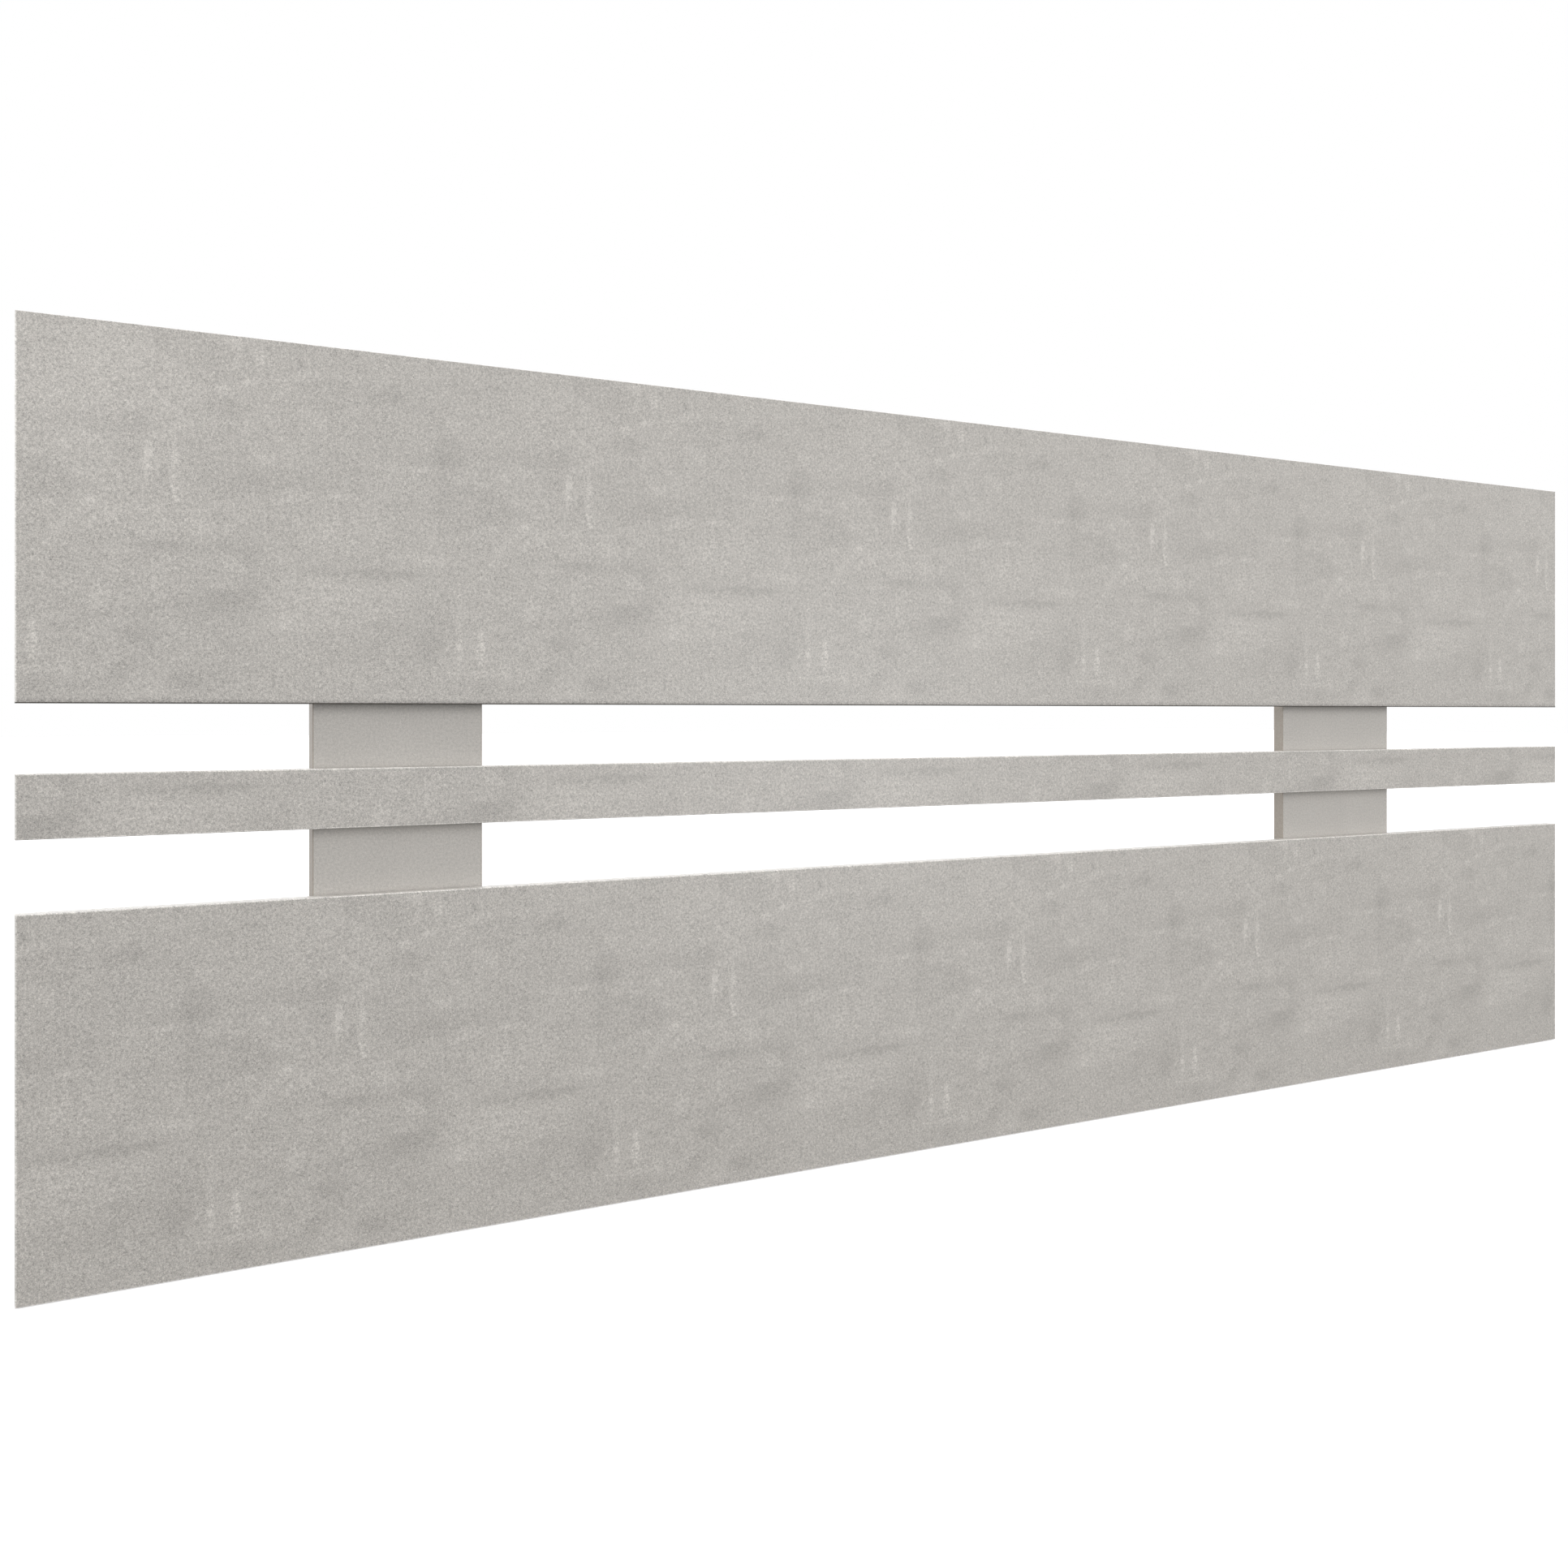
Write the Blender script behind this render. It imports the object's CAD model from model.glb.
"""Looks of a wall-hung headboard: concrete-print boards on two battens, and hidden fixings."""
import math

import bmesh
import bpy
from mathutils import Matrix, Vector


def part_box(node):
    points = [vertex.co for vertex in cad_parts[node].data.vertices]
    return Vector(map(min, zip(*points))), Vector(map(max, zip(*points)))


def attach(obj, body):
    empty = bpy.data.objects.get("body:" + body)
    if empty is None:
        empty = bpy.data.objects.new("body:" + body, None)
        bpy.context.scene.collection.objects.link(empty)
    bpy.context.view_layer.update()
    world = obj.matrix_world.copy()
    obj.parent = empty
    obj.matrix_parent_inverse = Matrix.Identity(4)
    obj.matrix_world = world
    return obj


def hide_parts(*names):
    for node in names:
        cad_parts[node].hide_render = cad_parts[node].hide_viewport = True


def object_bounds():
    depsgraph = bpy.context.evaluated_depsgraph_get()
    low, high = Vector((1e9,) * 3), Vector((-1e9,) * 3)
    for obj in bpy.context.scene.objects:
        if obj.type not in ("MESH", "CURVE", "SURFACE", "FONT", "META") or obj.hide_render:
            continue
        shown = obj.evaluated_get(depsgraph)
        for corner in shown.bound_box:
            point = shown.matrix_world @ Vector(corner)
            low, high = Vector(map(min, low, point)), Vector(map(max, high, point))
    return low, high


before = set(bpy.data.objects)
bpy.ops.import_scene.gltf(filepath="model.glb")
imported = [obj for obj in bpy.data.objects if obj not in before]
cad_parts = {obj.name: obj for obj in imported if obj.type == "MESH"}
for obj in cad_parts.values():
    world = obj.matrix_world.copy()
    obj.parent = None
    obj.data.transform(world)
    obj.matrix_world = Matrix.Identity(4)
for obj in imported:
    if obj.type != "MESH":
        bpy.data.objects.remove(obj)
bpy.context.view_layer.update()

MM = 0.001
FAR = 1000.0
BOARDS = ("top_board", "middle_strip", "bottom_board")
BATTENS = ("left_batten", "right_batten")
SHEETS = ("front_sheet", "back_sheet")
BANDS = ("top_band", "bottom_band", "left_band", "right_band")

LOW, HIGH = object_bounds()
LEFT_END = LOW.x
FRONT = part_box("top_board_front_sheet")[0].y

# The decor repeats along the boards after this length. Marks are counted from the left end
# and from a board's top edge, and each board starts at its own place in the repeat.
REPEAT = 372 * MM
PRINT_START = {"top_board": 0.0, "bottom_board": 156 * MM, "middle_strip": 230 * MM}
PRINT_DEPTH = {"top_board": 0.0, "bottom_board": 0.0, "middle_strip": 184 * MM}

# The top board's faces darken by this share towards the lower edge, over this height.
EDGE_SHADE = 0.32
EDGE_SHADE_HEIGHT = 5 * MM

# Noise of the decors, from coarse to fine. The speckle and the dust are the grain.
CLOUDS = {"scale": 14, "detail": 4, "roughness": 0.75}
WISPS = {"scale": 80, "detail": 4, "roughness": 0.7}
RAGGED = {"scale": 140, "detail": 4, "roughness": 0.7}
SPECKLE = {"scale": 420, "detail": 2, "roughness": 0.7}
DUST = {"scale": 1100, "detail": 1, "roughness": 0.7}
RAGGED_SHIFT = 10 * MM

# Marks of one repeat: along, down, half length, half height, tilt in degrees, strength.
# Strength is the change in brightness, up or down, in hundredths, before the share below.
MARK_STRENGTH = 0.85
MARK_END = 1.5  # a mark has faded out at this squared distance, counted in half sizes
DASHES = [
    (99, 114, 4.5, 20, 0, 18), (119, 119, 3.8, 27, 0, 15), (121, 143, 5, 5, 0, 11),
    (12, 264, 4.5, 21, 0, 18), (-9, 256, 3.8, 27, 0, 14), (96, 113, 7, 4, 0, 5),
    (169, 10, 5, 17, 0, 13), (187, 13, 5, 18, 0, 15),
]
STREAKS = [
    (115, 87, 22, 2.6, 22, 5), (150, 77, 38, 3, 6, 5), (208, 138, 24, 2.4, 14, 8),
    (246, 132, 34, 2.4, 4, 8), (270, 134, 12, 6, 0, 7), (250, 244, 58, 2.6, 8, 7),
    (165, 44, 28, 4, 18, 8), (205, 32, 36, 4, 6, 7), (240, 24, 24, 4, 10, 6),
    (265, 27, 15, 4, 0, 7), (20, 188, 28, 1.8, 52, 6), (20, 286, 26, 5, 3, 5),
    (55, 281, 30, 4, 4, 5), (20, 101, 28, 4, 2, 7), (45, 106, 14, 4, -12, 6),
    (238, 71, 9, 3.5, -30, 8), (187, 102, 12, 4, -35, 7), (95, 198, 50, 3, 3, 3),
]
PALE_PATCHES = [
    (54, 149, 9, 5, 30, 13), (44, 159, 8, 3, 50, 9), (32, 172, 7, 4.5, 45, 12),
    (62, 229, 10, 8, 20, 12), (167, 196, 13, 6, -20, 9), (60, 48, 80, 26, 6, 4),
    (132, 42, 26, 10, 0, 5), (55, 97, 12, 5, 0, 6), (47, 125, 8, 6, 0, 8),
    (67, 136, 9, 5, -20, 7), (16, 153, 11, 4, 0, 6), (75, 160, 70, 14, 0, 5),
    (132, 166, 22, 8, 0, 7), (98, 172, 11, 7, 0, 5), (235, 222, 52, 26, 0, 8),
    (212, 246, 19, 9, 0, 7), (300, 218, 60, 18, 0, 3), (252, 168, 28, 15, 0, 7),
    (280, 150, 34, 14, 0, 4), (330, 183, 30, 6, 0, 6), (210, 86, 40, 16, 0, 3),
    (357, 60, 10, 9, 0, 7), (325, 102, 11, 4, 0, 7), (75, 212, 66, 12, 6, 3),
    (230, 285, 90, 18, 0, 2),
]
DARK_PATCHES = [
    (158, 227, 15, 11, 0, -9), (162, 230, 31, 15, 0, -9), (180, 213, 9, 14, 0, -6),
    (110, 183, 26, 6, 0, -8), (122, 183, 62, 6, 0, -6), (165, 180, 22, 8, 0, -4),
    (182, 190, 9, 9, 0, -7), (295, 198, 28, 6, 0, -7), (272, 199, 68, 6, 0, -7),
    (332, 195, 40, 4, 4, -5), (300, 38, 19, 8, 4, -11), (163, 63, 19, 8, -4, -10),
    (92, 79, 10, 11, 0, -8), (50, 84, 60, 9, 0, -5), (353, 85, 16, 18, 0, -12),
    (338, 92, 38, 7, 0, -6), (348, 122, 12, 26, 0, -5), (191, 127, 7, 10, 0, -10),
    (228, 120, 52, 9, 2, -5), (272, 108, 17, 5, 0, -6), (155, 118, 42, 24, 0, -4),
    (12, 122, 19, 7, -5, -9), (25, 135, 24, 12, 0, -5), (85, 108, 11, 6, 0, -7),
    (106, 129, 9, 10, 0, -7), (125, 12, 36, 15, -20, -5), (305, 158, 9, 10, 0, -6),
    (95, 258, 21, 11, 10, -9), (88, 247, 18, 16, 0, -4), (133, 237, 18, 22, 0, -4),
    (335, 262, 15, 17, 0, -10), (342, 256, 34, 24, 0, -3), (292, 258, 9, 15, 0, -5),
    (127, 295, 15, 8, 0, -11), (138, 294, 28, 13, 0, -4), (76, 291, 10, 9, 0, -8),
    (15, 300, 52, 9, 0, -5),
]
MARKS = DASHES + STREAKS + PALE_PATCHES + DARK_PATCHES


# ---------- node helpers ----------

def add_node(tree, kind, inputs=None, **settings):
    """A node with its settings, and its inputs set to values or joined to sockets."""
    node = tree.nodes.new(kind)
    for name, value in settings.items():
        setattr(node, name, value)
    for name, value in (inputs or {}).items():
        if isinstance(value, bpy.types.NodeSocket):
            tree.links.new(value, node.inputs[name])
        else:
            node.inputs[name].default_value = value
    return node


def maths(tree, operation, first, second=0.0, third=0.0):
    inputs = {0: first, 1: second, 2: third}
    return add_node(tree, "ShaderNodeMath", inputs, operation=operation).outputs[0]


def vector_maths(tree, operation, *values, output="Vector"):
    inputs = dict(enumerate(values))
    return add_node(tree, "ShaderNodeVectorMath", inputs, operation=operation).outputs[output]


def scaled(tree, vector, scale):
    inputs = {0: vector, "Scale": scale}
    return add_node(tree, "ShaderNodeVectorMath", inputs, operation="SCALE").outputs[0]


def separated(tree, vector):
    return add_node(tree, "ShaderNodeSeparateXYZ", {0: vector}).outputs


def combined(tree, **axes):
    return add_node(tree, "ShaderNodeCombineXYZ", axes).outputs[0]


def remap(tree, value, low, high, to_low, to_high, smooth=False):
    inputs = {"Value": value, "From Min": low, "From Max": high,
              "To Min": to_low, "To Max": to_high}
    kind = "SMOOTHSTEP" if smooth else "LINEAR"
    return add_node(tree, "ShaderNodeMapRange", inputs, interpolation_type=kind).outputs[0]


def noise(tree, place, scale, detail=4.0, roughness=0.5):
    """Noise at a place: outputs Fac, from 0 to 1, and Color, three of those."""
    inputs = {"Vector": place, "Scale": scale, "Detail": detail, "Roughness": roughness}
    return add_node(tree, "ShaderNodeTexNoise", inputs).outputs


def centred(tree, value, strength):
    """A noise value as a change about 0, from about -strength to strength."""
    return maths(tree, "MULTIPLY", maths(tree, "SUBTRACT", value, 0.5), 2 * strength)


def brightened(tree, colour, change):
    """A colour, made lighter or darker by a changing share."""
    return scaled(tree, colour, maths(tree, "ADD", 1.0, change))


def from_display(red, green, blue):
    """A linear colour for display values from 0 to 255."""
    def linear(value):
        share = value / 255
        return share / 12.92 if share <= 0.04045 else ((share + 0.055) / 1.055) ** 2.4
    return (linear(red), linear(green), linear(blue))


def new_material(name):
    """An empty material with its shader, its node tree and the place on the object."""
    material = bpy.data.materials.new(name)
    material.use_nodes = True
    tree = material.node_tree
    shader = tree.nodes["Principled BSDF"]
    place = add_node(tree, "ShaderNodeTexCoord").outputs["Object"]
    return material, tree, shader, place


def bump(tree, shader, height, distance, strength=1.0):
    inputs = {"Height": height, "Distance": distance, "Strength": strength}
    tree.links.new(add_node(tree, "ShaderNodeBump", inputs).outputs[0], shader.inputs["Normal"])


# ---------- the concrete print ----------

def mark_group():
    """Adds one soft oval mark to the print.

    X and Y of the carried vector are the place in the repeat, and Z is the total of the marks so
    far. One chain of marks holds few values at once, which keeps the shader within its limits.
    Each axis of the oval points along it and is as long as one over its half size.
    """
    tree = bpy.data.node_groups.new("print_mark", "ShaderNodeTree")
    for name in ("Carried", "Centre", "Long axis", "Short axis", "Strength"):
        tree.interface.new_socket(name, in_out="INPUT", socket_type="NodeSocketVector")
    tree.interface.new_socket("Carried", in_out="OUTPUT", socket_type="NodeSocketVector")
    given = tree.nodes.new("NodeGroupInput").outputs
    half = REPEAT / 2
    away = vector_maths(tree, "SUBTRACT", given["Carried"], given["Centre"])
    wrapped = vector_maths(tree, "WRAP", away, (half, FAR, FAR), (-half, -FAR, -FAR))
    along, across = (vector_maths(tree, "DOT_PRODUCT", wrapped, given[axis], output="Value")
                     for axis in ("Long axis", "Short axis"))
    square = maths(tree, "MULTIPLY", along, along)
    square = maths(tree, "MULTIPLY_ADD", across, across, square)
    mark = remap(tree, square, 0.0, MARK_END, 1.0, 0.0, smooth=True)
    total = vector_maths(tree, "MULTIPLY_ADD", mark, given["Strength"], given["Carried"])
    result = tree.nodes.new("NodeGroupOutput")
    tree.links.new(total, result.inputs["Carried"])
    return tree


def print_group():
    """The whole print: brightness change and grain, at a place along and down one repeat."""
    mark_tree = mark_group()
    tree = bpy.data.node_groups.new("concrete_print", "ShaderNodeTree")
    tree.interface.new_socket("Place", in_out="INPUT", socket_type="NodeSocketVector")
    for name in ("Change", "Grain", "Relief"):
        tree.interface.new_socket(name, in_out="OUTPUT", socket_type="NodeSocketFloat")
    place = tree.nodes.new("NodeGroupInput").outputs["Place"]
    parts = separated(tree, place)

    # Noise is read on a cylinder whose girth is one repeat, so that it joins up with itself.
    radius = REPEAT / (2 * math.pi)
    angle = maths(tree, "DIVIDE", parts["X"], radius)
    around = combined(tree, X=maths(tree, "MULTIPLY", maths(tree, "COSINE", angle), radius),
                      Y=maths(tree, "MULTIPLY", maths(tree, "SINE", angle), radius),
                      Z=parts["Y"])
    clouds = noise(tree, vector_maths(tree, "MULTIPLY", around, (1, 1, 2.2)), **CLOUDS)["Fac"]
    wisps = noise(tree, vector_maths(tree, "MULTIPLY", around, (1, 1, 2)), **WISPS)["Fac"]
    speckle = noise(tree, around, **SPECKLE)["Fac"]
    dust = noise(tree, around, **DUST)["Fac"]

    # The marks' outlines are ragged: the place is shifted a little before they are drawn.
    ragged = noise(tree, around, **RAGGED)["Color"]
    shift = scaled(tree, vector_maths(tree, "SUBTRACT", ragged, (0.5, 0.5, 0.5)), RAGGED_SHIFT)
    carried = vector_maths(tree, "ADD", place, vector_maths(tree, "MULTIPLY", shift, (1, 1, 0)))
    for along, down, half_length, half_height, tilt, strength in MARKS:
        mark = tree.nodes.new("ShaderNodeGroup")
        mark.node_tree = mark_tree
        tree.links.new(carried, mark.inputs["Carried"])
        lean = Vector((math.cos(math.radians(tilt)), -math.sin(math.radians(tilt)), 0))
        upright = Vector((-lean.y, lean.x, 0))
        values = {"Centre": (along * MM, down * MM, 0),
                  "Long axis": lean / (half_length * MM),
                  "Short axis": upright / (half_height * MM),
                  "Strength": (0, 0, MARK_STRENGTH * strength / 100)}
        for name, value in values.items():
            mark.inputs[name].default_value = value
        carried = mark.outputs[0]
    marks = separated(tree, carried)["Z"]
    broken = remap(tree, maths(tree, "ADD", speckle, wisps), 0.75, 1.25, 0.45, 1.55)
    marks = maths(tree, "MULTIPLY", marks, broken)

    change = maths(tree, "ADD", marks, centred(tree, clouds, 0.12))
    change = maths(tree, "ADD", change, centred(tree, wisps, 0.10))
    grain = maths(tree, "ADD", centred(tree, speckle, 0.51), centred(tree, dust, 0.64))
    relief = maths(tree, "ADD", speckle, maths(tree, "MULTIPLY", dust, 0.35))
    result = tree.nodes.new("NodeGroupOutput")
    for name, value in (("Change", change), ("Grain", grain), ("Relief", relief)):
        tree.links.new(value, result.inputs[name])
    return tree


def concrete(name, colour, board, print_tree, edge_shade=0.0):
    """Printed melamine with the look of cast concrete, in its place on one board.

    The edge shade darkens the last few millimetres towards the board's lower edge.
    """
    material, tree, shader, place = new_material(name)
    parts = separated(tree, place)
    start = LEFT_END + PRINT_START[board]
    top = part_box(board + "_top_band")[1].z + PRINT_DEPTH[board]
    # The print turns over the edges, so that it isn't drawn out into stripes on the bands.
    behind = maths(tree, "SUBTRACT", parts["Y"], FRONT)
    along = maths(tree, "SUBTRACT", parts["X"], start)
    down = maths(tree, "SUBTRACT", top, parts["Z"])
    on_print = combined(tree, X=maths(tree, "ADD", along, behind),
                        Y=maths(tree, "ADD", down, behind))
    printed = tree.nodes.new("ShaderNodeGroup")
    printed.node_tree = print_tree
    tree.links.new(on_print, printed.inputs["Place"])
    change = maths(tree, "ADD", printed.outputs["Change"], printed.outputs["Grain"])
    if edge_shade:
        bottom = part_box(board + "_bottom_band")[0].z
        shade = remap(tree, parts["Z"], bottom, bottom + EDGE_SHADE_HEIGHT, -edge_shade, 0.0)
        change = maths(tree, "ADD", change, shade)
    tree.links.new(brightened(tree, colour, change), shader.inputs["Base Color"])
    tree.links.new(remap(tree, printed.outputs["Change"], -0.2, 0.2, 0.34, 0.40),
                   shader.inputs["Roughness"])
    bump(tree, shader, printed.outputs["Relief"], 0.03 * MM, 0.5)
    return material


def plain_decor(name, colour, grain=0.30):
    """Melamine of one tone with a fine, even grain."""
    material, tree, shader, place = new_material(name)
    clouds = noise(tree, place, 14, detail=4, roughness=0.7)["Fac"]
    speckle = noise(tree, place, **SPECKLE)["Fac"]
    dust = noise(tree, place, **DUST)["Fac"]
    change = maths(tree, "ADD", centred(tree, speckle, grain), centred(tree, dust, grain))
    change = maths(tree, "ADD", centred(tree, clouds, 0.08), change)
    tree.links.new(brightened(tree, colour, change), shader.inputs["Base Color"])
    tree.links.new(remap(tree, speckle, 0.3, 0.7, 0.42, 0.50), shader.inputs["Roughness"])
    bump(tree, shader, speckle, 0.04 * MM, 0.5)
    return material


# ---------- the other materials ----------

def chipboard():
    """Pressed wood chips: flat flakes of several browns, denser towards the faces."""
    material, tree, shader, place = new_material("chipboard")
    flat = vector_maths(tree, "MULTIPLY", place, (1.0, 2.6, 1.0))
    wander = noise(tree, flat, 260, detail=2)["Color"]
    moved = vector_maths(tree, "ADD", flat, vector_maths(tree, "MULTIPLY", wander, (0.004,) * 3))
    flakes = add_node(tree, "ShaderNodeTexVoronoi", {"Vector": moved, "Scale": 420.0})
    tone = add_node(tree, "ShaderNodeSeparateColor", {0: flakes.outputs["Color"]}).outputs[0]
    ramp = add_node(tree, "ShaderNodeValToRGB", {0: tone})
    stops = ramp.color_ramp.elements
    stops[0].color = (*from_display(140, 104, 66), 1)
    stops[1].color = (*from_display(214, 183, 138), 1)
    stops.new(0.55).color = (*from_display(184, 147, 101), 1)
    fibres = noise(tree, vector_maths(tree, "MULTIPLY", place, (1, 1, 6)), 300, detail=3)["Fac"]
    change = centred(tree, fibres, 0.12)
    tree.links.new(brightened(tree, ramp.outputs[0], change), shader.inputs["Base Color"])
    shader.inputs["Roughness"].default_value = 0.85
    bump(tree, shader, flakes.outputs["Distance"], 0.4 * MM, 0.5)
    return material


def zinc():
    """Galvanised steel: pale metal with crystal patches and fine scratches."""
    material, tree, shader, place = new_material("zinc_steel")
    crystals = add_node(tree, "ShaderNodeTexVoronoi", {"Vector": place, "Scale": 380.0})
    tone = add_node(tree, "ShaderNodeSeparateColor", {0: crystals.outputs["Color"]}).outputs[0]
    brushed = vector_maths(tree, "MULTIPLY", place, (14, 1, 1))
    scratches = noise(tree, brushed, 500, detail=2)["Fac"]
    change = maths(tree, "ADD", centred(tree, tone, 0.10), centred(tree, scratches, 0.05))
    steel = from_display(176, 179, 184)
    tree.links.new(brightened(tree, steel, change), shader.inputs["Base Color"])
    tree.links.new(remap(tree, tone, 0, 1, 0.30, 0.46), shader.inputs["Roughness"])
    shader.inputs["Metallic"].default_value = 1.0
    bump(tree, shader, scratches, 0.03 * MM, 0.5)
    return material


def beech():
    """Turned beech: pale brown with short dark flecks along the dowel."""
    material, tree, shader, place = new_material("beech")
    along = vector_maths(tree, "MULTIPLY", place, (1.0, 0.15, 1.0))
    grain = noise(tree, along, 900, detail=3, roughness=0.6)["Fac"]
    flecks = noise(tree, vector_maths(tree, "MULTIPLY", place, (1.0, 0.3, 1.0)), 2200)["Fac"]
    dark = remap(tree, flecks, 0.60, 0.72, 0.0, -0.25, smooth=True)
    change = maths(tree, "ADD", centred(tree, grain, 0.16), dark)
    tree.links.new(brightened(tree, from_display(214, 176, 130), change),
                   shader.inputs["Base Color"])
    shader.inputs["Roughness"].default_value = 0.6
    bump(tree, shader, grain, 0.08 * MM, 0.5)
    return material


# ---------- threaded screws ----------

# Radii of the screws' heads and threads, at the joints and at the hanger plates.
HEAD, THREAD = 4 * MM, 2 * MM
PLATE_HEAD, PLATE_THREAD = 3 * MM, 1.5 * MM


def screw_mesh(mesh, base, length, radius, head_radius):
    """Adds one countersunk screw to a bmesh: its point at base, its head length away along +Y."""
    steps = 32
    pitch = 0.45 * 2 * radius
    thread_depth = 0.30 * radius
    point_length = 2 * radius
    cone_length = head_radius - radius
    rim = 0.3 * MM
    recess_half = 0.6 * head_radius
    arm_half = 0.25 * radius
    recess_depth = radius

    def radius_at(along, angle):
        to_cone = length - rim - cone_length
        if along > to_cone:
            return min(head_radius, radius + along - to_cone)
        shrink = min(1.0, 0.15 + 0.85 * along / point_length)
        fade = min(1.0, max(0.0, (to_cone - along) / (1.5 * pitch)))
        turn = (along / pitch - angle / (2 * math.pi)) % 1
        groove = min(1.0, abs(turn - 0.5) * 3.2)
        return shrink * (radius - thread_depth * groove * fade)

    def ring(along, scale=1.0, sink=None):
        row = []
        for step in range(steps):
            angle = 2 * math.pi * step / steps
            r = scale * radius_at(along, angle)
            x, z = r * math.cos(angle), r * math.sin(angle)
            drop = sink(x, z) if sink else 0.0
            row.append(mesh.verts.new(base + Vector((x, along - drop, z))))
        return row

    def recess(x, z):
        """Depth of the cross recess at a place on the head."""
        small, large = sorted((abs(x), abs(z)))
        if small > arm_half or large > recess_half:
            return 0.0
        return recess_depth * min(1.0, (recess_half - large) / (0.35 * recess_half) + 0.15)

    rows_per_pitch = 10
    rows = max(2, int((length - rim - cone_length) / pitch * rows_per_pitch))
    levels = [i * (length - rim - cone_length) / rows for i in range(rows + 1)]
    levels += [length - rim, length]
    loops = [ring(level) for level in levels]
    head_scales = (0.96, 0.85, 0.72, 0.62, 0.58, 0.5, 0.4, 0.3, 0.2, 0.12)
    loops += [ring(length, scale, recess) for scale in head_scales]
    for low, high in zip(loops, loops[1:]):
        for i in range(steps):
            j = (i + 1) % steps
            mesh.faces.new((low[i], high[i], high[j], low[j]))
    mesh.faces.new(loops[0])
    mesh.faces.new(list(reversed(loops[-1])))


def screws(node, places, low_y, high_y, radius, head_radius, material):
    """Threaded screws that stand for a CAD node of plain ones."""
    mesh = bmesh.new()
    for x, z in places:
        screw_mesh(mesh, Vector((x, low_y, z)), high_y - low_y, radius, head_radius)
    bmesh.ops.recalc_face_normals(mesh, faces=mesh.faces[:])
    data = bpy.data.meshes.new(node + "_threaded")
    mesh.to_mesh(data)
    mesh.free()
    data.materials.append(material)
    piece = bpy.data.objects.new(node + "_threaded", data)
    bpy.context.scene.collection.objects.link(piece)
    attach(piece, "root")
    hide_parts(node)


def along_box(low, high, edge):
    """Middles of the heads along one side of a box: two at its ends, or one where it is short."""
    if high - low < 3 * edge:
        return [(low + high) / 2]
    return [low + edge, high - edge]


def grid_of(node, edge):
    """Middles of the screws in a node, whose outermost heads reach its box."""
    low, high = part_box(node)
    xs = along_box(low.x, high.x, edge)
    zs = along_box(low.z, high.z, edge)
    return [(x, z) for x in xs for z in zs], low.y, high.y


# ---------- camera, light and floor ----------

def camera():
    """The camera a little left of the left end, level, turned towards the far end."""
    data = bpy.data.cameras.new("camera")
    data.sensor_width = 36
    data.lens = 34.13
    data.shift_y = -0.0458
    item = bpy.data.objects.new("camera", data)
    item.location = (LEFT_END - 47.9 * MM, FRONT - 1338.9 * MM, LOW.z + 477.8 * MM)
    item.rotation_euler = (math.radians(90), 0, math.radians(-29.4))
    bpy.context.scene.collection.objects.link(item)
    bpy.context.scene.camera = item


def studio_world():
    """White to the eye. Its light is soft and comes mostly from a wide band around the horizon."""
    world = bpy.data.worlds.new("studio")
    world.use_nodes = True
    tree = world.node_tree
    tree.nodes.clear()
    place = add_node(tree, "ShaderNodeTexCoord").outputs["Generated"]
    parts = separated(tree, place)
    above = remap(tree, parts["Z"], 0.40, 0.68, 1.93, 0.3, smooth=True)
    below = remap(tree, parts["Z"], -0.40, 0.2, 0.04, 1.0, smooth=True)
    right = remap(tree, parts["X"], 0.4, 0.9, 1.0, 0.6, smooth=True)
    strength = maths(tree, "MULTIPLY", maths(tree, "MULTIPLY", above, below), right)
    light = add_node(tree, "ShaderNodeBackground", {"Color": (1, 1, 1, 1), "Strength": strength})
    seen = add_node(tree, "ShaderNodeBackground", {"Color": (1, 1, 1, 1), "Strength": 1.0})
    is_camera = add_node(tree, "ShaderNodeLightPath").outputs["Is Camera Ray"]
    mixed = add_node(tree, "ShaderNodeMixShader",
                     {0: is_camera, 1: light.outputs[0], 2: seen.outputs[0]})
    result = tree.nodes.new("ShaderNodeOutputWorld")
    tree.links.new(mixed.outputs[0], result.inputs["Surface"])
    bpy.context.scene.world = world


def area_light(name, place, target, width, depth, power):
    """A soft light with a rectangular face, turned towards a target."""
    data = bpy.data.lights.new(name, "AREA")
    data.shape = "RECTANGLE"
    data.size = width
    data.size_y = depth
    data.energy = power
    item = bpy.data.objects.new(name, data)
    item.location = place
    item.rotation_euler = (Vector(target) - Vector(place)).to_track_quat("-Z", "Y").to_euler()
    bpy.context.scene.collection.objects.link(item)


def studio_floor():
    """A white floor just under the panel, which lights nothing itself."""
    bpy.ops.mesh.primitive_plane_add(size=60, location=(0, 0, LOW.z - 1 * MM))
    floor = bpy.context.object
    floor.name = "floor"
    material, tree, shader, place = new_material("floor")
    shader.inputs["Base Color"].default_value = (0.8, 0.8, 0.8, 1)
    shader.inputs["Roughness"].default_value = 0.9
    shader.inputs["Emission Color"].default_value = (1, 1, 1, 1)
    shader.inputs["Emission Strength"].default_value = 0.7
    floor.data.materials.append(material)
    floor.visible_diffuse = False
    floor.visible_glossy = False


# ---------- dress the frame ----------

def dress(node, material):
    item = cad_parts[node]
    item.data.materials.clear()
    item.data.materials.append(material)


DECOR = from_display(185.5, 181.5, 176)
DECOR_EDGE = from_display(221, 217.5, 212)
DECOR_SHADE = from_display(88, 84, 78)
BATTEN = from_display(185, 181, 175.5)
BATTEN_SIDE = from_display(161.5, 153.5, 144)

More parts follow.
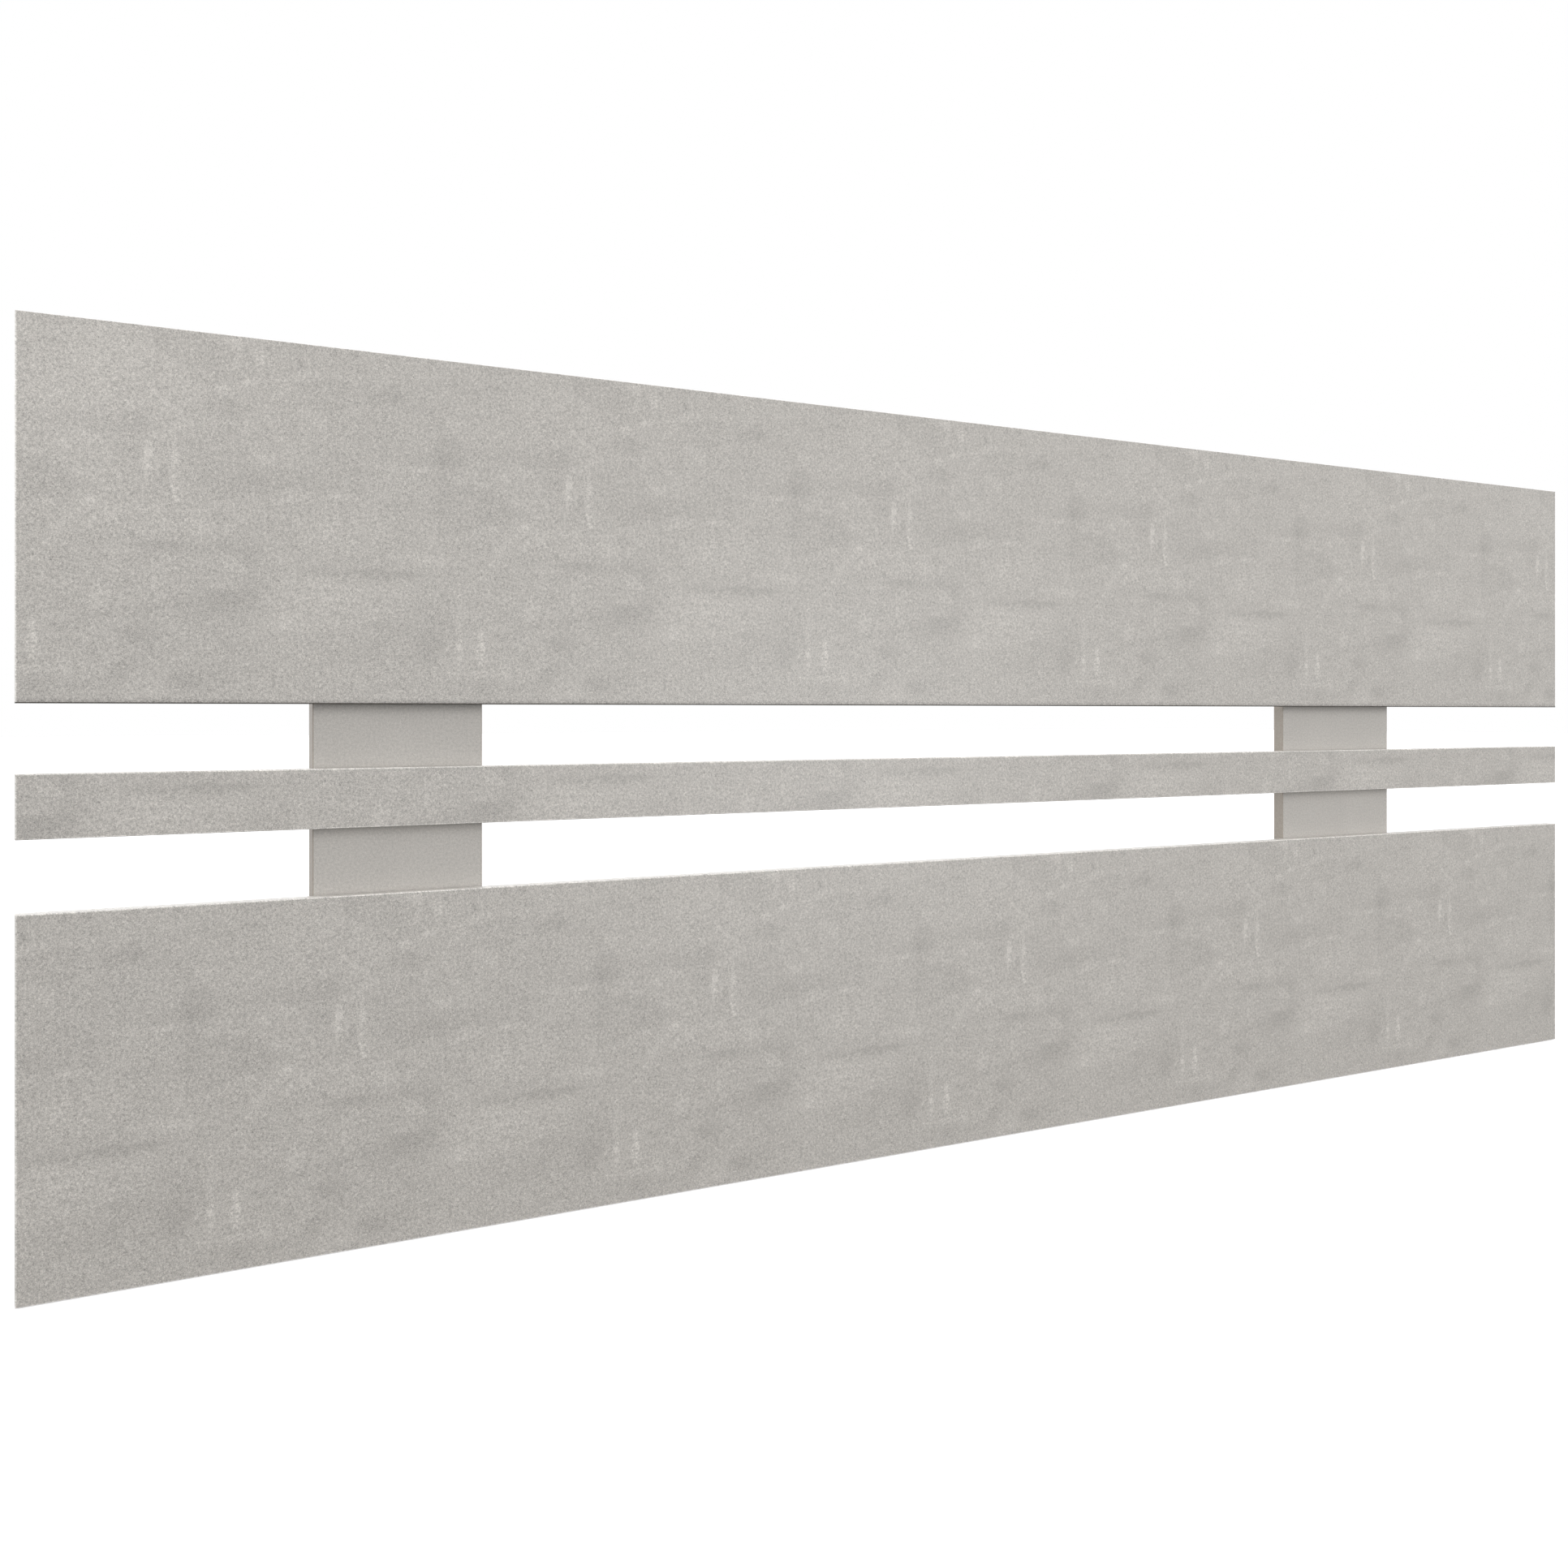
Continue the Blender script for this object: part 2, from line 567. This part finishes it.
camera()
studio_world()
middle = (LOW + HIGH) / 2
sheen = Vector((LEFT_END + 0.75, FRONT, middle.z))
area_light("sheen", sheen + Vector((2.05, -3.44, -0.2)), sheen, 0.9, 0.9, 22)
area_light("overhead", middle + Vector((0, 0, 1.9)), middle, 3.6, 0.7, 33)
corner = Vector((LEFT_END + 0.045, FRONT, HIGH.z - 0.025))
area_light("corner", corner + Vector((0, -0.16, 0)), corner, 0.12, 0.12, 0.02)
studio_floor()
bpy.context.scene.view_settings.view_transform = "Standard"

print_tree = print_group()
for board in BOARDS:
    shade = EDGE_SHADE if board == "top_board" else 0.0
    face = concrete(board + "_concrete", DECOR, board, print_tree, shade)
    edge = concrete(board + "_edge_concrete", DECOR_EDGE, board, print_tree)
    for layer in SHEETS:
        dress(f"{board}_{layer}", face)
    for layer in BANDS:
        dress(f"{board}_{layer}", edge)
dress("top_board_top_band", bpy.data.materials["top_board_concrete"])
shaded = concrete("shaded_concrete", DECOR_SHADE, "top_board", print_tree)
dress("top_board_bottom_band", shaded)
batten_face = plain_decor("batten_decor", BATTEN)
batten_side = plain_decor("batten_edge", BATTEN_SIDE, 0.20)
core = chipboard()
for batten in BATTENS:
    for layer in SHEETS:
        dress(f"{batten}_{layer}", batten_face)
    for layer in BANDS:
        dress(f"{batten}_{layer}", batten_side)
for panel in BOARDS + BATTENS:
    dress(panel + "_core", core)

steel = zinc()
wood = beech()
for batten in BATTENS:
    for level in ("upper", "lower"):
        dress(f"{batten}_{level}_hanger", steel)
    for board in ("top_board", "bottom_board"):
        dress(f"{batten}_{board}_dowels", wood)

for batten in BATTENS:
    for board in BOARDS:
        node = f"{batten}_{board}_screws"
        places, low_y, high_y = grid_of(node, HEAD)
        screws(node, places, low_y, high_y, THREAD, HEAD, steel)
    node = f"{batten}_hanger_screws"
    plates = [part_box(f"{batten}_{level}_hanger") for level in ("lower", "upper")]
    ends = [plate_end for low, high in plates
            for plate_end in (low.z + (high.x - low.x) / 2, high.z - (high.x - low.x) / 2)]
    low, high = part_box(node)
    places = [((low.x + high.x) / 2, z) for z in ends]
    screws(node, places, low.y, high.y, PLATE_THREAD, PLATE_HEAD, steel)
